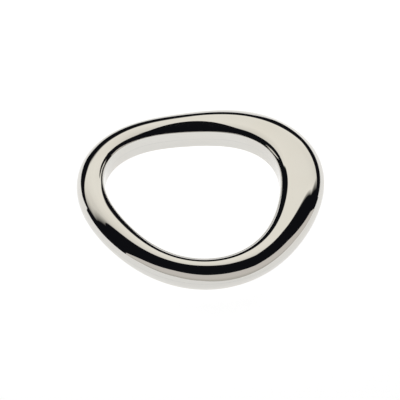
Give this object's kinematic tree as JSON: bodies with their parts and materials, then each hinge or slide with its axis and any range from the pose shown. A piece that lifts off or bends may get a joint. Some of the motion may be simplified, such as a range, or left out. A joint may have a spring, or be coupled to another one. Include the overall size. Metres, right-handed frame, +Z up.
{
  "type": "bangle bracelet",
  "caption": "Closed rigid bangle with a rounded three-cornered outline and a hollow mirror-polished band that swells at one corner, worn by passing the hand through it.",
  "frame": {"origin": "Middle of the outline's box, on the plane that the band's underside rests on.", "axes": "+Z is up through the hand opening, +X points to the wide corner, and +Y completes a right-handed frame."},
  "size_m": [0.0904, 0.0876, 0.0116],
  "materials": {
    "polished_metal": "mirror polished silver-tone metal",
    "solder": "hard solder, polished flush with the sheet"
  },
  "bodies": {
    "root": {"upper_shell": "polished_metal", "lower_shell": "polished_metal", "outer_solder_seam": "solder", "inner_solder_seam": "solder", "vent_plug": "solder"}
  },
  "joints": []
}
